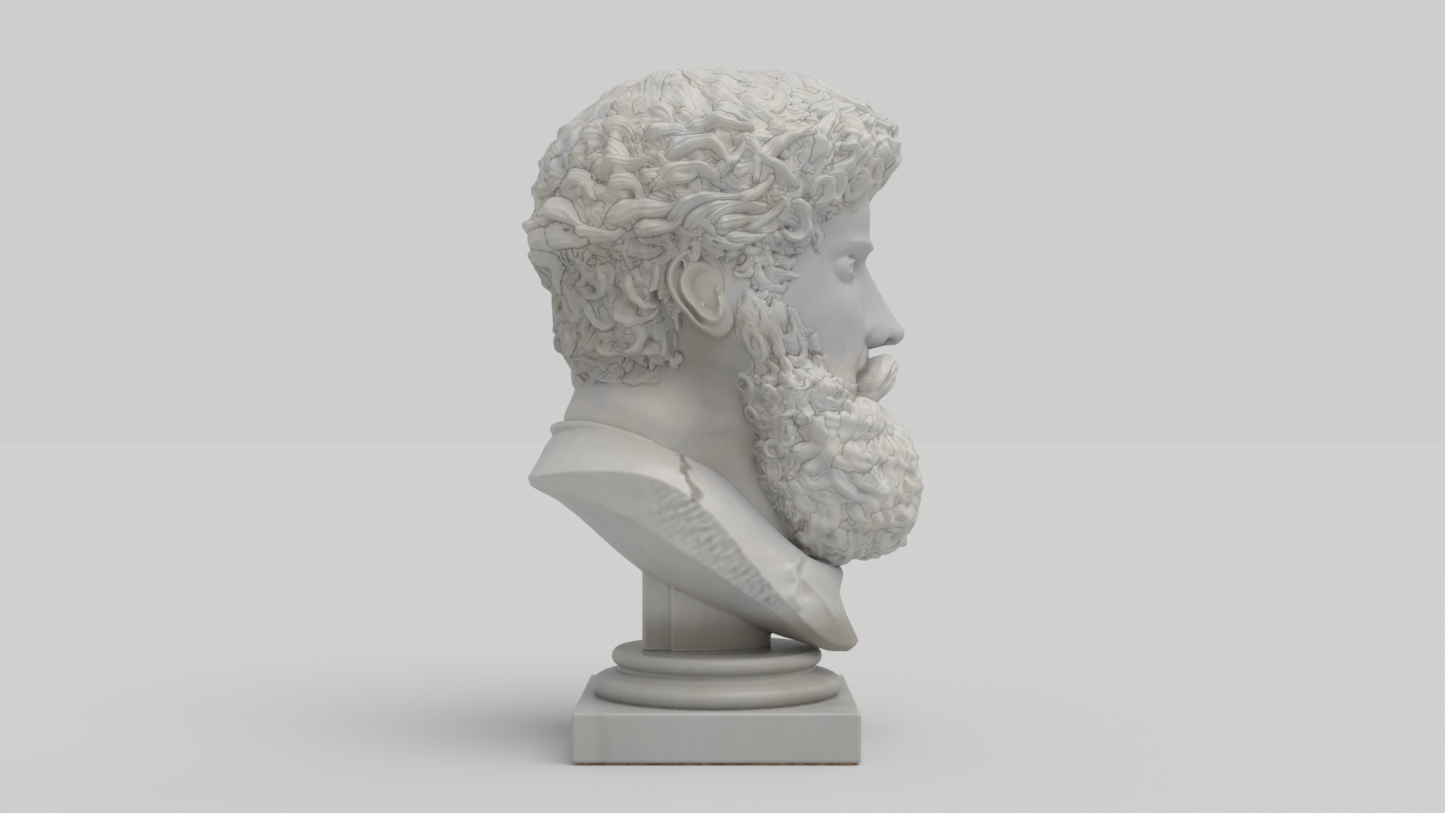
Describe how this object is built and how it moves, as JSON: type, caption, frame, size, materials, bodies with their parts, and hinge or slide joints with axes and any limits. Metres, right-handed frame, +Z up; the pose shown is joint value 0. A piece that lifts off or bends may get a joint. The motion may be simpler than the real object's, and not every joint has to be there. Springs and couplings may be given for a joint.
{
  "type": "marble bust",
  "caption": "Marble portrait bust with curly hair and a full beard, on a cut-away chest, rear pier, turned socle and square plinth.",
  "frame": {"origin": "centre of the underside of the cork base, on the surface that the bust stands on", "axes": "+Z up, the bust faces -Y, X left and right"},
  "size_m": [0.224, 0.2894, 0.497],
  "materials": {
    "marble_head": "carved marble, soft matt polish, brown-grey in the recesses",
    "marble_chest": "carved marble, soft matt polish, chisel marks in the arm cuts",
    "marble_socle": "turned marble, soft matt polish, blue-grey clouds",
    "marble_plinth": "honed marble, eased edges",
    "lime_putty": "matt lime putty",
    "resin_grout": "matt filled resin",
    "stainless_steel": "satin",
    "bronze": "dull bronze",
    "cork": "fine-grained cork sheet"
  },
  "bodies": {
    "root": {"cork_base": "cork", "plinth": "marble_plinth", "socle_bed": "lime_putty", "socle": "marble_socle", "socle_pins": "stainless_steel", "pier_bed": "lime_putty", "chest": "marble_chest", "rod_grout": "resin_grout", "main_rod": "stainless_steel", "rod_washer": "stainless_steel", "rod_nut": "stainless_steel", "neck_bed": "lime_putty", "head": "marble_head", "head_dowel": "bronze"}
  },
  "joints": []
}
